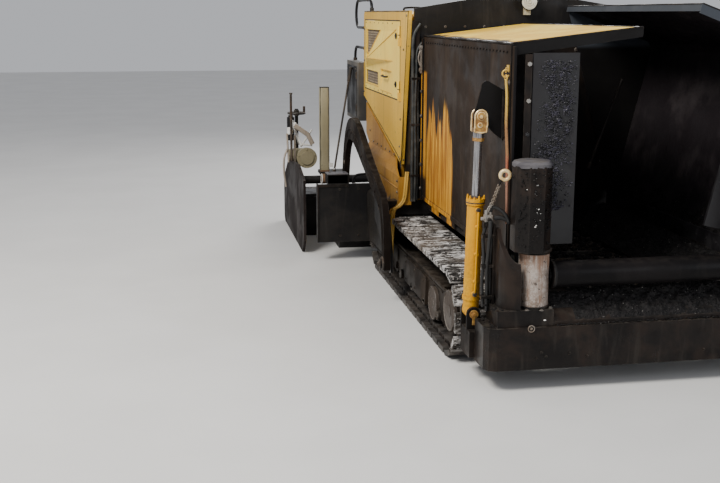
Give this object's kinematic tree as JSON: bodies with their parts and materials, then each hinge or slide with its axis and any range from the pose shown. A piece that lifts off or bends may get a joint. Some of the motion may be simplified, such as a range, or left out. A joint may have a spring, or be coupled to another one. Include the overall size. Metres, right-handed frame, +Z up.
{
  "type": "compact tracked asphalt paver",
  "caption": "Compact tracked asphalt paver with folding hopper wings, slat conveyor, push roller, augers, tow arms and a lifting, extending screed.",
  "frame": {"origin": "middle of the machine's box, on the ground under the tracks", "axes": "+Z up, -Y towards the hopper and bumper, +X to the machine's own left"},
  "size_m": [2.85, 4.96, 2.1],
  "materials": {
    "mustard_paint": "satin",
    "golden_paint": "satin",
    "yellow_strong": "satin",
    "black_paint": "satin",
    "grimy_black": "worn",
    "worn_wing": "worn",
    "worn_iron": "worn",
    "dusty_shoe": "dusty",
    "arm_grey": "worn",
    "bare_steel": "worn",
    "chrome_rod": "polished",
    "rubber_black": "matte",
    "seat_vinyl": "matte",
    "lamp_body": "satin"
  },
  "bodies": {
    "root": {"chassis": "black_paint", "front_bumper": "grimy_black", "posts": "bare_steel", "post_caps": "grimy_black", "hopper_floor": "grimy_black", "hopper_back_wall": "grimy_black", "conveyor": "worn_iron", "track_right": "dusty_shoe", "track_left": "dusty_shoe", "track_frame_right": "worn_iron", "track_frame_left": "worn_iron", "track_wheels_right": "worn_iron", "track_wheels_left": "worn_iron", "engine_block": "worn_iron", "front_panel": "black_paint", "body_shell": "golden_paint", "side_panel_right": "mustard_paint", "side_panel_left": "mustard_paint", "fender_right": "golden_paint", "fender_left": "golden_paint", "tow_bracket_right": "black_paint", "tow_bracket_left": "black_paint", "operator_platform": "black_paint", "console": "mustard_paint", "seat_frames": "black_paint", "seat_pad_right": "seat_vinyl", "seat_pad_left": "seat_vinyl", "seat_back_right": "seat_vinyl", "seat_back_left": "seat_vinyl", "handrails": "black_paint", "exhaust": "worn_iron", "work_lamp": "lamp_body", "auger_plate": "black_paint", "auger_gearbox": "black_paint"},
    "push_roller": {"push_roller": "grimy_black"},
    "wing_right": {"wing_right": "worn_wing", "wing_flap_right": "rubber_black"},
    "wing_left": {"wing_left": "worn_wing", "wing_flap_left": "rubber_black"},
    "wing_barrel_right": {"wing_barrel_right": "yellow_strong"},
    "wing_barrel_left": {"wing_barrel_left": "yellow_strong"},
    "wing_rod_right": {"wing_rod_right": "chrome_rod"},
    "wing_rod_left": {"wing_rod_left": "chrome_rod"},
    "hood": {"hood": "mustard_paint"},
    "service_door_right": {"service_door_right": "mustard_paint"},
    "service_door_left": {"service_door_left": "mustard_paint"},
    "auger_right": {"auger_right": "worn_iron"},
    "auger_left": {"auger_left": "worn_iron"},
    "screed": {"tow_arm_right": "arm_grey", "tow_arm_left": "arm_grey", "screed_main": "black_paint"},
    "extension_right": {"screed_ext_right": "black_paint", "end_plate_right": "black_paint"},
    "extension_left": {"screed_ext_left": "black_paint", "end_plate_left": "black_paint"},
    "lift_barrels": {"lift_barrels": "black_paint"},
    "lift_rods": {"lift_rods": "chrome_rod"}
  },
  "joints": [
    {"name": "push_roller_spin", "type": "hinge", "parent": "root", "child": "push_roller", "pos_m": [0, -2.39, 0.61], "axis": [1, 0, 0], "continuous": true},
    {"name": "wing_right_fold", "type": "hinge", "parent": "root", "child": "wing_right", "pos_m": [-0.69, -1.22, 0.625], "axis": [0, 1, 0], "range_deg": [-43, 0]},
    {"name": "wing_left_fold", "type": "hinge", "parent": "root", "child": "wing_left", "pos_m": [0.69, -1.22, 0.625], "axis": [0, 1, 0], "range_deg": [-13, 30]},
    {"name": "wing_barrel_right_swing", "type": "hinge", "parent": "root", "child": "wing_barrel_right", "pos_m": [-0.88, -2.15, 0.36], "axis": [0, 1, 0], "range_deg": [-35.2, 1]},
    {"name": "wing_rod_right_slide", "type": "slide", "parent": "wing_barrel_right", "child": "wing_rod_right", "axis": [0.0235, 0, 0.9997], "range_m": [-0.1893, 0.002]},
    {"name": "wing_barrel_left_swing", "type": "hinge", "parent": "root", "child": "wing_barrel_left", "pos_m": [0.88, -2.15, 0.36], "axis": [0, 1, 0], "range_deg": [-11.34, 24.86]},
    {"name": "wing_rod_left_slide", "type": "slide", "parent": "wing_barrel_left", "child": "wing_rod_left", "axis": [0.148, 0, 0.989], "range_m": [-0.1327, 0.0586]},
    {"name": "hood_open", "type": "hinge", "parent": "root", "child": "hood", "pos_m": [0, -0.212, 1.974], "axis": [1, 0, 0], "range_deg": [0, 60]},
    {"name": "door_right_open", "type": "hinge", "parent": "root", "child": "service_door_right", "pos_m": [-0.834, 0.006, 1.65], "axis": [0, 0, 1], "range_deg": [0, 95]},
    {"name": "door_left_open", "type": "hinge", "parent": "root", "child": "service_door_left", "pos_m": [0.834, 0.006, 1.65], "axis": [0, 0, 1], "range_deg": [-95, 0]},
    {"name": "auger_right_spin", "type": "hinge", "parent": "root", "child": "auger_right", "pos_m": [0, 0.85, 0.29], "axis": [1, 0, 0], "continuous": true},
    {"name": "auger_left_spin", "type": "hinge", "parent": "root", "child": "auger_left", "pos_m": [0, 0.85, 0.29], "axis": [1, 0, 0], "continuous": true},
    {"name": "screed_lift", "type": "hinge", "parent": "root", "child": "screed", "pos_m": [0, -0.68, 0.29], "axis": [1, 0, 0], "range_deg": [0, 5]},
    {"name": "lift_barrels_swing", "type": "hinge", "parent": "root", "child": "lift_barrels", "pos_m": [0, 1.7, 1.42], "axis": [1, 0, 0], "range_deg": [-5.83, 0.5]},
    {"name": "lift_rods_slide", "type": "slide", "parent": "lift_barrels", "child": "lift_rods", "axis": [0, -0.0767, -0.9971], "range_m": [-0.1967, 0.002]},
    {"name": "extension_right_slide", "type": "slide", "parent": "screed", "child": "extension_right", "axis": [1, 0, 0], "range_m": [-0.45, 0.22]},
    {"name": "extension_left_slide", "type": "slide", "parent": "screed", "child": "extension_left", "axis": [1, 0, 0], "range_m": [-0.22, 0.45]}
  ],
  "couplings": [
    {"joint": "wing_barrel_right_swing", "follows": "wing_right_fold", "ratio": 0.7953},
    {"joint": "wing_rod_right_slide", "follows": "wing_right_fold", "m_per_rad": 0.2496},
    {"joint": "wing_barrel_left_swing", "follows": "wing_left_fold", "ratio": 0.7953},
    {"joint": "wing_rod_left_slide", "follows": "wing_left_fold", "m_per_rad": -0.2496},
    {"joint": "lift_barrels_swing", "follows": "screed_lift", "ratio": -1.0668},
    {"joint": "lift_rods_slide", "follows": "screed_lift", "m_per_rad": -2.2313}
  ]
}
